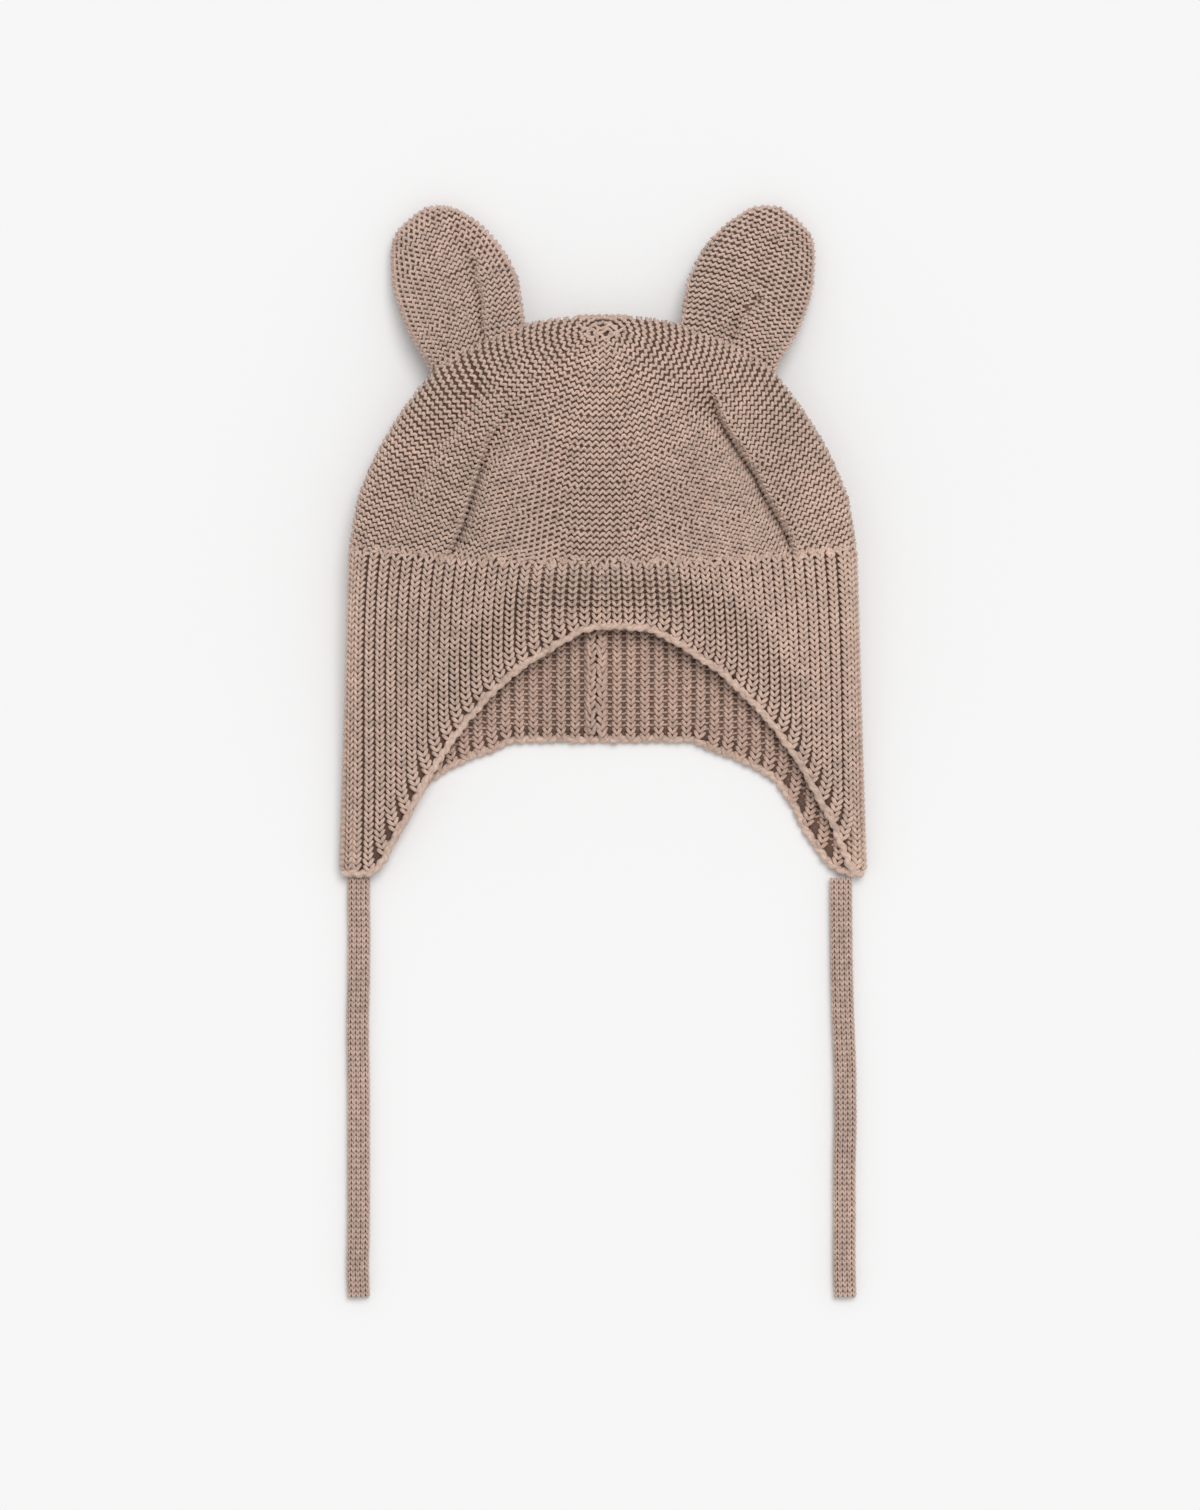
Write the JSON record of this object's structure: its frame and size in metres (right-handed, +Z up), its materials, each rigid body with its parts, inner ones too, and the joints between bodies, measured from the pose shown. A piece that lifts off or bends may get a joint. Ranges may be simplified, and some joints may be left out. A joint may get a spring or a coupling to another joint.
{
  "type": "baby hat with ears",
  "caption": "Knitted baby bonnet lying flat: domed crown with two rounded ears, ribbed band with a face arch, ear flaps and flat knitted ties.",
  "frame": {"origin": "middle of the underside of the hat and its ears as it lies on its back, ties left out", "axes": "+Y from the flaps to the ears, +X to the wearer's left, +Z up through the front of the hat"},
  "size_m": [0.1894, 0.3936, 0.028],
  "materials": {
    "crown_knit": "matt cotton yarn in reverse stockinette",
    "rib_knit": "matt cotton yarn in one by one rib",
    "edge_knit": "matt cotton yarn, bound-off edge",
    "ear_knit": "matt cotton yarn in reverse stockinette",
    "tie_knit": "matt cotton yarn in stockinette"
  },
  "bodies": {
    "root": {"crown": "crown_knit", "rib_band": "rib_knit", "edge_bead": "edge_knit", "back_seam": "edge_knit", "ear_left": "ear_knit", "ear_right": "ear_knit", "tie_left": "tie_knit", "tie_right": "tie_knit"}
  },
  "joints": []
}
